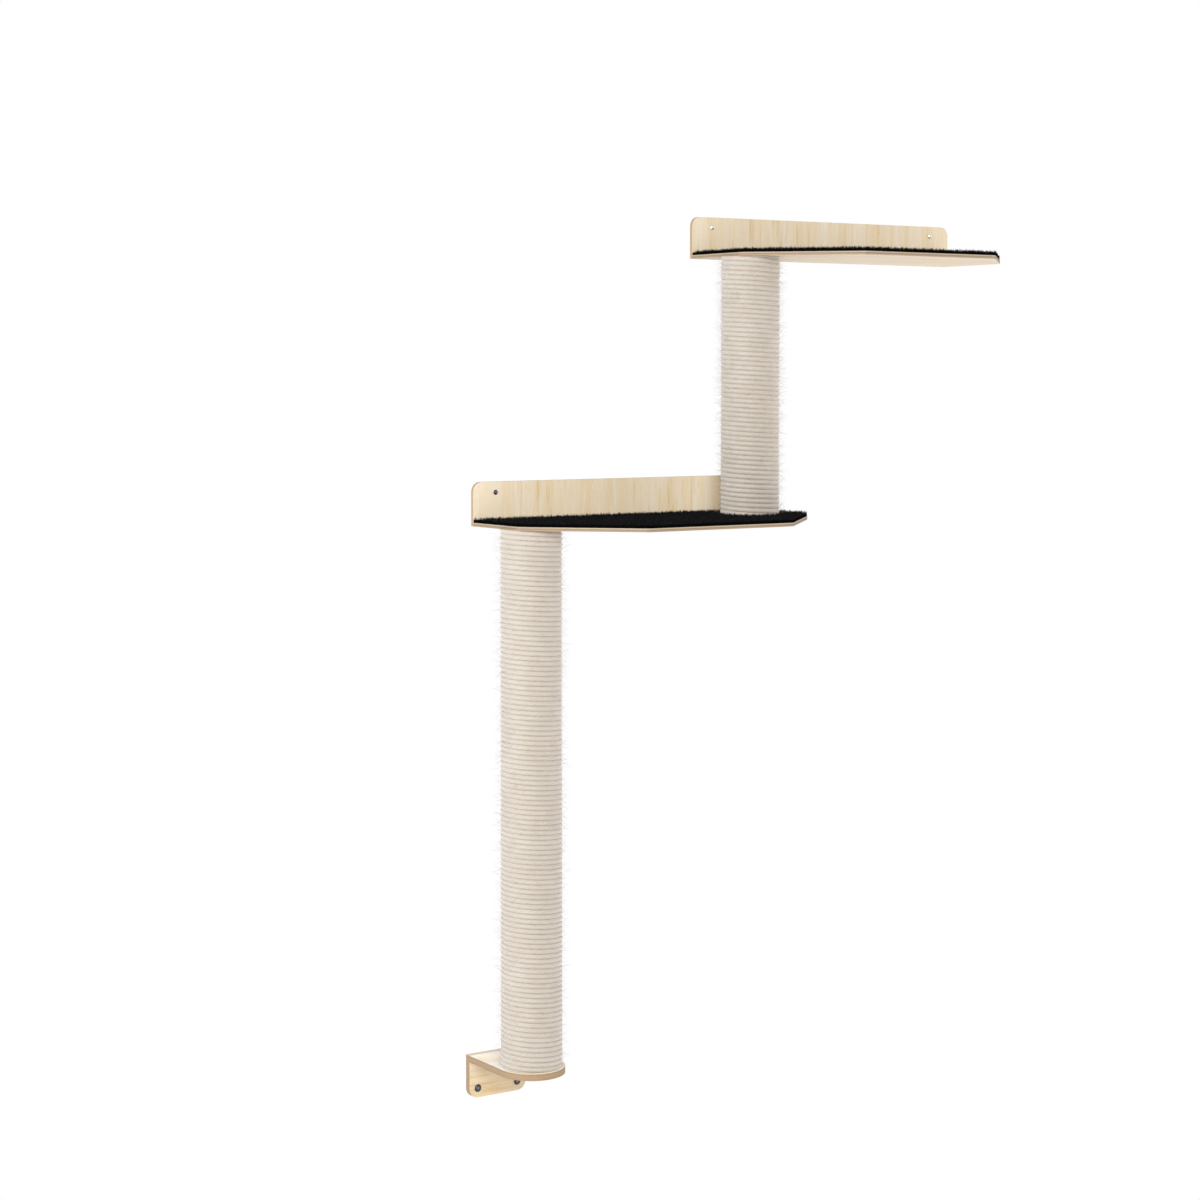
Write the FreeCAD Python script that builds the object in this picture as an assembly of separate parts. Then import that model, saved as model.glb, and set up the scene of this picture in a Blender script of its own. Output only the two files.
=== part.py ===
import FreeCAD, Part
import math
import os

# Wall-mounted cat scratcher: two carpeted plywood shelves, each screwed to a board on the wall,
# a rope-wound post between them, and a longer post from the lower shelf down to a wall bracket.
# Millimetres. X runs along the wall to the right, Y into the wall, Z up. The wall is the plane Y = 0.
# The origin is midway between the two wall screws of the upper shelf, on the wall.

# Shelf and its wall board
shelf_width = 592.0
shelf_reach = 300.0
shelf_thickness = 6.0
shelf_corner_cut = 150.0
shelf_corner_round = 20.0
board_height = 73.5
board_thickness = 6.0
board_corner_round = 17.0

# Carpet on the shelf
carpet_thickness = 7.5
carpet_inset = 0.6
carpet_post_gap = 0.5

# Where the lower shelf and the posts stand
upper_post_from_right_end = 102.1
step_down = 454.0
post_from_wall = 118.0
lower_post_length = 883.0

# Post: a card tube with a wooden plug in each end
core_radius = 43.0
core_wall = 6.0
plug_length = 30.0
plug_glue_gap = 0.15

# Rope wound on the tube, as strands that run side by side
rope_diameter = 7.6
rope_turn_gap = 0.48
rope_glue_gap = 0.3
rope_end_gap = 0.4
rope_strands = 2
rope_loops = 12

# Bracket under the long post
bracket_thickness = 11.0
bracket_height = 72.5
bracket_corner_round = 16.0
tongue_margin = 4.2

# Wall screws of the shelves
shelf_screw_head_radius = 4.2
shelf_screw_head_height = 2.6
shelf_screw_shank_radius = 2.1
shelf_screw_thread_radius = 2.5
shelf_screw_in_wall = 45.0
shelf_screw_from_end = 44.0
shelf_screw_from_top = 18.0

# Wall screws of the bracket
bracket_screw_head_radius = 6.5
bracket_screw_head_height = 3.6
bracket_screw_shank_radius = 2.6
bracket_screw_thread_radius = 3.0
bracket_screw_in_wall = 28.0
bracket_screw_from_end = 16.5
bracket_screw_from_top = 57.0

# Cross recess of a wall screw, as shares of its head
recess_reach_share = 0.55
recess_width_share = 0.28
recess_depth_share = 0.6

# Countersunk screws that join a wall board to its shelf, and the bracket plate to its tongue
joint_screw_head_radius = 3.0
joint_screw_thread_radius = 1.5
joint_screw_length = 35.0
joint_screw_sunk = 0.3
shelf_joint_screw_count = 4
shelf_joint_screw_from_end = 60.0
bracket_joint_screw_from_end = 25.0

# Countersunk bolts and threaded inserts that hold the posts
bolt_radius = 4.0
bolt_head_radius = 8.0
bolt_length = 35.0
bolt_sunk = 0.3
bolt_socket_width = 5.0
bolt_socket_depth = 2.5
insert_radius = 6.0
insert_length = 20.0

# Clearances round screws, bolts and inserts
screw_clearance = 0.25
pilot_clearance = 0.1
thread_clearance = 0.1
countersink_clearance = 0.15
hole_overrun = 1.0

# Worked-out sizes
rope_radius = rope_diameter / 2.0
rope_pitch = rope_diameter + rope_turn_gap
rope_lead = rope_pitch * rope_strands
rope_centre_radius = core_radius + rope_glue_gap + rope_radius
post_radius = rope_centre_radius + rope_radius
bracket_width = 2.0 * (post_radius + tongue_margin)

# Worked-out places. Each post's tube is flush with the left end of the shelf above it, so that only the rope
# projects there, and the upper post stands on the lower shelf.
step_across = shelf_width - core_radius - upper_post_from_right_end
upper_bottom = shelf_screw_from_top - board_height
lower_bottom = upper_bottom - step_down
upper_middle = 0.0
lower_middle = upper_middle - step_across
upper_post_x = upper_middle - shelf_width / 2.0 + core_radius
lower_post_x = upper_post_x - step_across
bracket_top = lower_bottom - lower_post_length

UP = FreeCAD.Vector(0.0, 0.0, 1.0)
DOWN = FreeCAD.Vector(0.0, 0.0, -1.0)
INTO_WALL = FreeCAD.Vector(0.0, 1.0, 0.0)
OUT_OF_WALL = FreeCAD.Vector(0.0, -1.0, 0.0)


def point(x, y, z):
    return FreeCAD.Vector(x, y, z)


def place(shape, origin, direction):
    """Turn a shape made along local +Z to a direction and put its local origin at a point."""
    moved = shape.copy()
    moved.Placement = FreeCAD.Placement(origin, FreeCAD.Rotation(UP, direction))
    return moved


def rod(radius, origin, direction, length):
    return Part.makeCylinder(radius, length, origin, direction)


def turned(edges):
    """A solid of revolution about local Z from edges drawn in the XZ plane."""
    face = Part.Face(Part.Wire(edges))
    return face.revolve(point(0.0, 0.0, 0.0), UP, 360.0)


def polyline(points):
    return [Part.makeLine(a, b) for a, b in zip(points[:-1], points[1:])]


def rounded(solid, radius, corners, axis):
    """Round the edges of a solid that run along an axis through the given corners."""
    edges = []
    for edge in solid.Edges:
        middle = edge.CenterOfMass
        along = (edge.Vertexes[-1].Point - edge.Vertexes[0].Point).normalize()
        if abs(along.dot(axis)) < 0.999:
            continue
        for corner in corners:
            offset = middle - corner
            if (offset - axis * offset.dot(axis)).Length < 0.01:
                edges.append(edge)
    return solid.makeFillet(radius, edges)


def shelf_block(middle_x, bottom, thickness, back, inset):
    """A plate with the shelf's outline: square to the wall, with its two front corners cut off."""
    side = shelf_width / 2.0 - inset
    front = shelf_reach - inset
    slant = inset * (math.sqrt(2.0) - 1.0)
    cut = shelf_corner_cut - inset + slant
    side_end = shelf_reach - shelf_corner_cut - slant
    half = [(side, side_end), (side - cut + inset, front)]
    right = [(middle_x + x, -y) for x, y in half]
    left = [(middle_x - x, -y) for x, y in reversed(half)]
    plan = [(middle_x + side, -back)] + right + left + [(middle_x - side, -back)]
    corners = [point(x, y, bottom) for x, y in plan]
    plate = Part.Face(Part.makePolygon(corners + corners[:1])).extrude(UP * thickness)
    return rounded(plate, shelf_corner_round - inset, corners[1:-1], UP)


def wall_plate(middle_x, bottom, width, height, thickness, round_radius, round_z):
    """An upright plate on the wall, with two of its corners rounded."""
    plate = Part.makeBox(width, thickness, height, point(middle_x - width / 2.0, -thickness, bottom))
    corners = [point(middle_x + side * width / 2.0, 0.0, round_z) for side in (-1.0, 1.0)]
    return rounded(plate, round_radius, corners, INTO_WALL)


def wall_screw(head_radius, head_height, shank_radius, thread_radius, plate_thickness, in_wall):
    """A dome-headed screw along local Z: its head seats at Z = 0 and its thread starts at the wall."""
    dome_radius = (head_radius ** 2 + head_height ** 2) / (2.0 * head_height)
    half_turn = math.asin(head_radius / dome_radius) / 2.0
    dome_centre = dome_radius - head_height
    top = point(0.0, 0.0, -head_height)
    rim = point(head_radius, 0.0, 0.0)
    dome_middle = point(
        dome_radius * math.sin(half_turn), 0.0, dome_centre - dome_radius * math.cos(half_turn)
    )
    tip_start = plate_thickness + in_wall - 2.0 * thread_radius
    outline = [
        rim,
        point(shank_radius, 0.0, 0.0),
        point(shank_radius, 0.0, plate_thickness),
        point(thread_radius, 0.0, plate_thickness),
        point(thread_radius, 0.0, tip_start),
        point(0.0, 0.0, plate_thickness + in_wall),
        top,
    ]
    screw = turned([Part.Arc(top, dome_middle, rim).toShape()] + polyline(outline))
    reach = head_radius * recess_reach_share
    width = head_radius * recess_width_share
    depth = head_height * recess_depth_share
    for turn in (0.0, 90.0):
        slot = Part.makeBox(2.0 * reach, width, depth, point(-reach, -width / 2.0, -head_height))
        slot.rotate(point(0.0, 0.0, 0.0), UP, turn)
        screw = screw.cut(slot)
    return screw


def countersunk(head_radius, shank_radius, length, sunk, tip_length):
    """A countersunk screw along local Z, its head's face sunk below Z = 0."""
    outline = [
        point(0.0, 0.0, sunk),
        point(head_radius, 0.0, sunk),
        point(shank_radius, 0.0, sunk + head_radius - shank_radius),
        point(shank_radius, 0.0, length - tip_length),
        point(shank_radius - tip_length / 2.0, 0.0, length),
        point(0.0, 0.0, length),
        point(0.0, 0.0, sunk),
    ]
    return turned(polyline(outline))


def countersunk_hole(head_radius, shank_radius, sunk, depth):
    """The hole that a countersunk screw passes through, with its clearances."""
    mouth = head_radius + countersink_clearance + sunk
    neck = shank_radius + screw_clearance
    outline = [
        point(0.0, 0.0, 0.0),
        point(mouth, 0.0, 0.0),
        point(neck, 0.0, mouth - neck),
        point(neck, 0.0, depth),
        point(0.0, 0.0, depth),
        point(0.0, 0.0, 0.0),
    ]
    return turned(polyline(outline))


def post_bolt():
    """A countersunk bolt along local Z with a hexagon socket in its head."""
    tip_length = bolt_radius / 2.0
    bolt = countersunk(bolt_head_radius, bolt_radius, bolt_length, bolt_sunk, tip_length)
    corner_radius = bolt_socket_width / math.sqrt(3.0)
    corners = []
    for step in range(7):
        turn = math.radians(60.0 * step)
        corners.append(point(corner_radius * math.cos(turn), corner_radius * math.sin(turn), bolt_sunk))
    return bolt.cut(Part.Face(Part.makePolygon(corners)).extrude(UP * bolt_socket_depth))


def spread(count, first, last):
    step = (last - first) / (count - 1)
    return [first + step * index for index in range(count)]


def tangent_arc(start, corner, end):
    """The arc from start to end whose end tangents meet at corner."""
    middle = (start + end) * 0.5
    half_chord = (end - start).Length / 2.0
    to_corner = corner - middle
    turn = math.atan2(to_corner.Length, half_chord)
    through = middle + to_corner.normalize() * (half_chord * math.tan(turn / 2.0))
    return Part.Arc(start, through, end).toShape()


def biarc(start, start_way, end, end_way):
    """Two arcs that leave start and reach end in the given directions and meet smoothly."""
    chord = end - start
    ways = start_way + end_way
    spare = 4.0 - ways.dot(ways)
    lean = chord.dot(ways)
    reach = (math.sqrt(lean ** 2 + spare * chord.dot(chord)) - lean) / spare
    first_corner = start + start_way * reach
    last_corner = end - end_way * reach
    join = (first_corner + last_corner) * 0.5
    return [tangent_arc(start, first_corner, join), tangent_arc(join, last_corner, end)]


def rope_at(centre, turn):
    """A point on one left-handed rope strand, and its direction there, after a turn in radians."""
    rise = rope_lead / (2.0 * math.pi)
    across = rope_centre_radius * math.cos(turn)
    along = rope_centre_radius * math.sin(turn)
    spot = centre + point(across, -along, rise * turn)
    way = point(-along, -across, rise)
    return spot, way.normalize()


def rope_strand(centre, first_turn):
    """One unbroken rope tube of half-turn biarcs with a straight end at each side."""
    edges = []
    half_turns = [first_turn + math.pi * step for step in range(2 * rope_loops + 1)]
    start, start_way = rope_at(centre, half_turns[0])
    tail = start - start_way * rope_diameter
    edges.append(Part.makeLine(tail, start))
    for turn in half_turns[1:]:
        end, end_way = rope_at(centre, turn)
        edges += biarc(start, start_way, end, end_way)
        start, start_way = end, end_way
    edges.append(Part.makeLine(start, start + start_way * rope_diameter))
    path = Part.Wire(edges)
    section = Part.Wire([Part.makeCircle(rope_radius, tail, edges[0].tangentAt(0.0))])
    return path.makePipeShell([section], True, False), path


def least_gap(paths, per_loop):
    """The least clear gap between rope turns, from points along the strands."""
    strands = [path.discretize(Number=per_loop * rope_loops) for path in paths]
    least = rope_lead
    for number, strand in enumerate(strands):
        for index, spot in enumerate(strand):
            for other in strands[number + 1:]:
                least = min(least, min(spot.distanceToPoint(mate) for mate in other))
            rest = strand[index + per_loop // 2:]
            if rest:
                least = min(least, min(spot.distanceToPoint(mate) for mate in rest))
    return least - rope_diameter


def rope_winding(name, x, bottom, top):
    """The lowest loops of the rope as strands, and a plain sleeve for the turns above them."""
    first_height = bottom + rope_end_gap + rope_radius
    strands = []
    paths = []
    for number in range(rope_strands):
        turn = 2.0 * math.pi * number / rope_strands
        level = first_height - rope_lead * turn / (2.0 * math.pi)
        tube, path = rope_strand(point(x, -post_from_wall, level), turn)
        strands.append(tube)
        paths.append(path)
    winding = Part.makeCompound(strands)
    wound_top = winding.BoundBox.ZMax
    sleeve_bottom = point(x, -post_from_wall, wound_top + rope_turn_gap)
    sleeve_height = top - rope_end_gap - sleeve_bottom.z
    sleeve = rod(post_radius, sleeve_bottom, UP, sleeve_height)
    sleeve = sleeve.cut(rod(core_radius + rope_glue_gap, sleeve_bottom, UP, sleeve_height))
    length = sum(path.Length for path in paths)
    expected = math.pi * rope_radius ** 2 * length
    print(name, "rope gap", round(least_gap(paths, 36), 3), "volume share", round(winding.Volume / expected, 5))
    return winding, sleeve


def post_plug(x, face_z, inward):
    """A wooden disc in the end of a tube, bored for its insert and for the bolt's end."""
    face = point(x, -post_from_wall, face_z)
    plug = rod(core_radius - core_wall - plug_glue_gap, face, inward, plug_length)
    plug = plug.cut(rod(insert_radius + pilot_clearance, face, inward, insert_length + pilot_clearance))
    return plug.cut(rod(bolt_radius + screw_clearance, face, inward, plug_length))


def post_insert(x, face_z, inward):
    """A threaded insert flush with the end of a plug."""
    face = point(x, -post_from_wall, face_z)
    insert = rod(insert_radius, face, inward, insert_length)
    return insert.cut(rod(bolt_radius + thread_clearance, face, inward, insert_length))


def build_post(name, x, bottom, top, plate_below, plate_above):
    """All the pieces of one post that stands between two plates."""
    foot = point(x, -post_from_wall, bottom)
    tube = rod(core_radius, foot, UP, top - bottom)
    tube = tube.cut(rod(core_radius - core_wall, foot, UP, top - bottom))
    winding, sleeve = rope_winding(name, x, bottom, top)
    low_bolt = place(post_bolt(), point(x, -post_from_wall, bottom - plate_below), UP)
    high_bolt = place(post_bolt(), point(x, -post_from_wall, top + plate_above), DOWN)
    return {
        name + "_tube": tube,
        name + "_bottom_plug": post_plug(x, bottom, UP),
        name + "_top_plug": post_plug(x, top, DOWN),
        name + "_inserts": Part.makeCompound([post_insert(x, bottom, UP), post_insert(x, top, DOWN)]),
        name + "_bolts": Part.makeCompound([low_bolt, high_bolt]),
        name + "_rope": winding,
        name + "_rope_cover": sleeve,
    }


def bolt_hole(x, face_z, inward, thickness):
    """The countersunk hole of a post bolt through a plate."""
    hole = countersunk_hole(bolt_head_radius, bolt_radius, bolt_sunk, thickness + hole_overrun)
    return place(hole, point(x, -post_from_wall, face_z), inward)


def build_shelf(name, middle_x, bottom, bolt_holes, carpet_post_x):
    """One shelf: its wall board, ply shelf, carpet and screws."""
    top = bottom + shelf_thickness
    left = middle_x - shelf_width / 2.0
    right = middle_x + shelf_width / 2.0
    screw_level = bottom + board_height - shelf_screw_from_top
    screw_xs = [left + shelf_screw_from_end, right - shelf_screw_from_end]
    joint_level = bottom + shelf_thickness / 2.0
    joint_xs = spread(shelf_joint_screw_count, left + shelf_joint_screw_from_end, right - shelf_joint_screw_from_end)

    board = wall_plate(
        middle_x, bottom, shelf_width, board_height, board_thickness, board_corner_round, bottom + board_height
    )
    ply = shelf_block(middle_x, bottom, shelf_thickness, board_thickness, 0.0)
    carpet = shelf_block(middle_x, top, carpet_thickness, board_thickness + carpet_inset, carpet_inset)

    screws = []
    for x in screw_xs:
        seat = point(x, -board_thickness, screw_level)
        screw = wall_screw(
            shelf_screw_head_radius, shelf_screw_head_height, shelf_screw_shank_radius,
            shelf_screw_thread_radius, board_thickness, shelf_screw_in_wall,
        )
        screws.append(place(screw, seat, INTO_WALL))
        board = board.cut(rod(shelf_screw_thread_radius + screw_clearance, seat, INTO_WALL, board_thickness))

    joints = []
    for x in joint_xs:
        face = point(x, 0.0, joint_level)
        joints.append(place(joint_screw(), face, OUT_OF_WALL))
        board = board.cut(place(joint_hole(board_thickness), face, OUT_OF_WALL))
        ply = ply.cut(joint_pilot(face))

    for x, face_z, inward in bolt_holes:
        ply = ply.cut(bolt_hole(x, face_z, inward, shelf_thickness))
    if carpet_post_x is not None:
        foot = point(carpet_post_x, -post_from_wall, top)
        carpet = carpet.cut(rod(post_radius + carpet_post_gap, foot, UP, carpet_thickness))
    return {
        name + "_wall_board": board,
        name + "_shelf": ply,
        name + "_carpet": carpet,
        name + "_wall_screws": Part.makeCompound(screws),
        name + "_joint_screws": Part.makeCompound(joints),
    }


def joint_screw():
    return countersunk(
        joint_screw_head_radius, joint_screw_thread_radius, joint_screw_length, joint_screw_sunk,
        joint_screw_thread_radius,
    )


def joint_hole(thickness):
    return countersunk_hole(
        joint_screw_head_radius, joint_screw_thread_radius, joint_screw_sunk, thickness + hole_overrun
    )


def joint_pilot(face):
    radius = joint_screw_thread_radius + pilot_clearance
    return rod(radius, face, OUT_OF_WALL, joint_screw_length + pilot_clearance)


def build_bracket():
    """The bracket: a plate on the wall and a round-ended tongue that the long post stands on."""
    half = bracket_width / 2.0
    left = lower_post_x - half
    right = lower_post_x + half
    underside = bracket_top - bracket_thickness
    joint_level = bracket_top - bracket_thickness / 2.0
    screw_level = bracket_top - bracket_screw_from_top
    plate = wall_plate(
        lower_post_x, bracket_top - bracket_height, bracket_width, bracket_height, bracket_thickness,
        bracket_corner_round, bracket_top - bracket_height,
    )

    back_right = point(right, -bracket_thickness, underside)
    front_right = point(right, -post_from_wall, underside)
    nose = point(lower_post_x, -post_from_wall - half, underside)
    front_left = point(left, -post_from_wall, underside)
    back_left = point(left, -bracket_thickness, underside)
    outline = [
        Part.makeLine(back_right, front_right),
        Part.Arc(front_right, nose, front_left).toShape(),
        Part.makeLine(front_left, back_left),
        Part.makeLine(back_left, back_right),
    ]
    tongue = Part.Face(Part.Wire(outline)).extrude(UP * bracket_thickness)
    tongue = tongue.cut(bolt_hole(lower_post_x, underside, UP, bracket_thickness))

    screws = []
    for x in (left + bracket_screw_from_end, right - bracket_screw_from_end):
        seat = point(x, -bracket_thickness, screw_level)
        screw = wall_screw(
            bracket_screw_head_radius, bracket_screw_head_height, bracket_screw_shank_radius,
            bracket_screw_thread_radius, bracket_thickness, bracket_screw_in_wall,
        )
        screws.append(place(screw, seat, INTO_WALL))
        plate = plate.cut(rod(bracket_screw_thread_radius + screw_clearance, seat, INTO_WALL, bracket_thickness))

    joints = []
    for x in (left + bracket_joint_screw_from_end, right - bracket_joint_screw_from_end):
        face = point(x, 0.0, joint_level)
        joints.append(place(joint_screw(), face, OUT_OF_WALL))
        plate = plate.cut(place(joint_hole(bracket_thickness), face, OUT_OF_WALL))
        tongue = tongue.cut(joint_pilot(face))
    return {
        "bracket_wall_plate": plate,
        "bracket_tongue": tongue,
        "bracket_wall_screws": Part.makeCompound(screws),
        "bracket_joint_screws": Part.makeCompound(joints),
    }


upper_top = upper_bottom + shelf_thickness
lower_top = lower_bottom + shelf_thickness
parts = {}
parts.update(build_shelf("upper", upper_middle, upper_bottom, [(upper_post_x, upper_top, DOWN)], None))
parts.update(build_shelf(
    "lower", lower_middle, lower_bottom,
    [(lower_post_x, lower_top, DOWN), (upper_post_x, lower_bottom, UP)], upper_post_x,
))
parts.update(build_post(
    "upper_post", upper_post_x, lower_top, upper_bottom, shelf_thickness, shelf_thickness
))
parts.update(build_post(
    "lower_post", lower_post_x, bracket_top, lower_bottom, bracket_thickness, shelf_thickness
))
parts.update(build_bracket())

os.makedirs("parts", exist_ok=True)
for node, shape in parts.items():
    shape.exportStep("parts/" + node + ".step")
    print(node, len(shape.Solids), "solids", "valid" if shape.isValid() else "NOT VALID", round(shape.Volume))
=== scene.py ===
# %% [markdown]
# # A wall-mounted cat scratcher
# Two plywood shelves step along a wall. Each has a board behind it that takes the wall screws, and black
# carpet on top. A rope-wound post joins the shelves, and a longer one runs down to a small wall bracket.
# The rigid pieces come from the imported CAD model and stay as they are. This lesson gives them their
# finishes and makes the soft pieces, rope and carpet, that a CAD solid can only stand in for.

# %% Load the solid pieces
import math

import bmesh
import bpy
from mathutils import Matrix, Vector


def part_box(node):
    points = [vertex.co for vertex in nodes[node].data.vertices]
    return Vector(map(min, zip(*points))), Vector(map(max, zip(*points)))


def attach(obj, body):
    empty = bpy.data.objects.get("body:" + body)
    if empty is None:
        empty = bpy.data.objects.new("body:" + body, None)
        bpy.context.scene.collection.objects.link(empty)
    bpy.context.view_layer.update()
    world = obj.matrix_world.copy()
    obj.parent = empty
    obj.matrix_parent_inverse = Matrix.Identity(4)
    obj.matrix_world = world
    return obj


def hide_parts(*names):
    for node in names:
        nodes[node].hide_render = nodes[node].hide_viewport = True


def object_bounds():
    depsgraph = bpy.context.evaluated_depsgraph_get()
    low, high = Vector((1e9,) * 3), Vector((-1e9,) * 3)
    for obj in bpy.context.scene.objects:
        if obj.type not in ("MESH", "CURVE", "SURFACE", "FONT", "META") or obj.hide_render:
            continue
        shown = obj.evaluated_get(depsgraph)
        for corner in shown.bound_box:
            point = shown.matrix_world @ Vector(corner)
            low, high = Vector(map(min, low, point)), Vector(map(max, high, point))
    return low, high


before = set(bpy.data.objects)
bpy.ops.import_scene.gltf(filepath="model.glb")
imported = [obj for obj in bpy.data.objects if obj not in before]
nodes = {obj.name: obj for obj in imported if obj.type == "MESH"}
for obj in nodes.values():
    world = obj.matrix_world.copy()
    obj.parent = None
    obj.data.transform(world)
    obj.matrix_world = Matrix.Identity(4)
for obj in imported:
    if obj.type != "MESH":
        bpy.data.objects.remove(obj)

cad_low, cad_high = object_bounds()
print(len(nodes), "solid pieces in a box of", [round(side, 3) for side in cad_high - cad_low], "m")

# %% [markdown]
# ## The camera
# The picture is square and was taken from the left, from a little above the middle of the object. The long
# lens and the camera's turn, tilt and place were worked out from the corners of the shelves. The lens is
# shifted down instead of tilting the camera further, because the posts' sides stay upright that way.

# %% Place the camera
picture_side = 1200.0
focal_length_in_pixels = 2531.3
level_line_in_pixels = 478.1
camera_turn = math.radians(33.854)
camera_tilt = math.radians(2.3)
camera_place = (-2.9011, -3.6009, -0.2611)

camera_data = bpy.data.cameras.new("camera")
camera_data.lens = focal_length_in_pixels / picture_side * camera_data.sensor_width
camera_data.shift_y = (level_line_in_pixels - picture_side / 2.0) / picture_side
camera = bpy.data.objects.new("camera", camera_data)
camera.location = camera_place
camera.rotation_euler = (math.pi / 2.0 - camera_tilt, 0.0, -camera_turn)
bpy.context.scene.collection.objects.link(camera)
bpy.context.scene.camera = camera
print("lens", round(camera_data.lens, 1), "mm, shift", round(camera_data.shift_y, 3))

# %% [markdown]
# ## Small helpers for node trees
# Shader trees and Geometry Nodes trees are both made by adding nodes and joining sockets. One helper adds a
# node, sets its options and fills its inputs: a socket is linked and a plain value is typed in. Two more do
# sums with numbers and with vectors. Colours are written on the 0 to 255 scale that a colour picker shows,
# and turned into the linear light that shaders use.

# %% Node helpers
def add(tree, kind, inputs=None, **options):
    node = tree.nodes.new(kind)
    for option, value in options.items():
        setattr(node, option, value)
    for socket, value in (inputs or {}).items():
        if isinstance(value, bpy.types.NodeSocket):
            tree.links.new(value, node.inputs[socket])
        else:
            node.inputs[socket].default_value = value
    return node


def calculate(tree, operation, first, second=0.0, third=0.0):
    return add(tree, "ShaderNodeMath", {0: first, 1: second, 2: third}, operation=operation).outputs[0]


def vector(tree, operation, inputs):
    result = "Value" if operation == "DOT_PRODUCT" else "Vector"
    return add(tree, "ShaderNodeVectorMath", inputs, operation=operation).outputs[result]


def linear(level):
    share = level / 255.0
    return share / 12.92 if share <= 0.04045 else ((share + 0.055) / 1.055) ** 2.4


def tone(red, green, blue):
    return (linear(red), linear(green), linear(blue), 1.0)


print("picture grey 128 is", round(linear(128), 3), "in linear light")

# %% [markdown]
# ## Light and floor
# The photograph is a bright product picture with almost no shadows: rope and boards are a little lighter on
# their left, and the tops are the brightest. A white surround gives the even light, and three large soft
# lamps shape it: one far to the left, one behind the camera and a weak one at the right. A single lamp would
# throw the posts' shadows on the boards. The camera sees the surround and the floor as plain white.

# %% Light the studio
plain_white = (1.0, 1.0, 1.0, 1.0)
surround_strength = 0.56


def apart_for_camera(tree, cast, seen):
    """One shader for the light that falls on the object, another for what the camera sees."""
    is_camera = add(tree, "ShaderNodeLightPath").outputs["Is Camera Ray"]
    return add(tree, "ShaderNodeMixShader", {0: is_camera, 1: cast, 2: seen}).outputs[0]


world = bpy.data.worlds.new("white_surround")
world.use_nodes = True
world_tree = world.node_tree
world_tree.nodes.clear()
glow = add(world_tree, "ShaderNodeBackground", {"Strength": surround_strength, "Color": plain_white})
backdrop = add(world_tree, "ShaderNodeBackground", {"Strength": 1.0, "Color": plain_white})
surround = apart_for_camera(world_tree, glow.outputs[0], backdrop.outputs[0])
add(world_tree, "ShaderNodeOutputWorld", {"Surface": surround})
bpy.context.scene.world = world
bpy.context.scene.view_settings.view_transform = "Standard"
print("surround of strength", surround_strength)

# %% Hang the lamps
middle = (cad_low + cad_high) / 2.0


def soft_lamp(name, place, side, watts, colour):
    lamp_data = bpy.data.lights.new(name, "AREA")
    lamp_data.size = side
    lamp_data.energy = watts
    lamp_data.color = colour
    lamp = bpy.data.objects.new(name, lamp_data)
    lamp.location = place
    lamp.rotation_euler = (middle - Vector(place)).to_track_quat("-Z", "Y").to_euler()
    bpy.context.scene.collection.objects.link(lamp)


soft_lamp("left_lamp", (-4.4, 0.8, 0.6), side=2.6, watts=146.0, colour=(0.95, 0.985, 1.0))
soft_lamp("front_lamp", (-3.5, -4.7, 1.2), side=3.5, watts=387.0, colour=(1.0, 0.99, 0.97))
soft_lamp("right_lamp", (3.4, -1.6, 0.4), side=2.6, watts=87.0, colour=(1.0, 0.98, 0.95))

# %% [markdown]
# The floor is one large plain disc. It lies well below the object, as under a thing that hangs on a wall, so
# the shelves can be looked at from below too. Its faint glow lights their undersides.

# %% Lay the floor
floor_drop = 1.6
floor_radius = 40.0
floor_corners = 96
floor_glow = 0.3

floor_mesh = bpy.data.meshes.new("floor")
floor_shape = bmesh.new()
bmesh.ops.create_circle(floor_shape, cap_ends=True, segments=floor_corners, radius=floor_radius)
for corner in floor_shape.verts:
    corner.co.z = cad_low.z - floor_drop
floor_shape.to_mesh(floor_mesh)
floor_shape.free()
floor = bpy.data.objects.new("floor", floor_mesh)
bpy.context.scene.collection.objects.link(floor)

floor_finish = bpy.data.materials.new("pale_floor")
floor_finish.use_nodes = True
floor_tree = floor_finish.node_tree
floor_shader = floor_tree.nodes["Principled BSDF"]
floor_shader.inputs["Base Color"].default_value = (0.9, 0.9, 0.9, 1.0)
floor_shader.inputs["Roughness"].default_value = 0.9
floor_shader.inputs["Emission Color"].default_value = plain_white
floor_shader.inputs["Emission Strength"].default_value = floor_glow
floor_white = add(floor_tree, "ShaderNodeEmission", {"Strength": 1.0})
floor_surface = apart_for_camera(floor_tree, floor_shader.outputs[0], floor_white.outputs[0])
floor_tree.links.new(floor_surface, floor_tree.nodes["Material Output"].inputs["Surface"])
floor_mesh.materials.append(floor_finish)
print("floor at", round(cad_low.z - floor_drop, 3), "m")

# %% [markdown]
# ## Plywood
# Every board is plywood: a veneer face with long soft streaks, and edges where the stacked veneers show as
# stripes. A photograph of wood would need an image, so the streaks are noise, squeezed along the grain.
# A few helpers come first: one starts a finish, the others turn a number into a colour, blend two colours,
# tint a colour and scatter specks.

# %% Shader helpers
X, Y, Z = 0, 1, 2


def new_finish(name):
    finish = bpy.data.materials.new(name)
    finish.use_nodes = True
    tree = finish.node_tree
    return finish, tree, tree.nodes["Principled BSDF"]


def ramp(tree, share, stops, interpolation="LINEAR"):
    node = add(tree, "ShaderNodeValToRGB", {"Fac": share})
    node.color_ramp.interpolation = interpolation
    elements = node.color_ramp.elements
    elements[0].position, elements[0].color = stops[0]
    elements[1].position, elements[1].color = stops[-1]
    for place, colour in stops[1:-1]:
        elements.new(place).color = colour
    return node.outputs["Color"]


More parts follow.
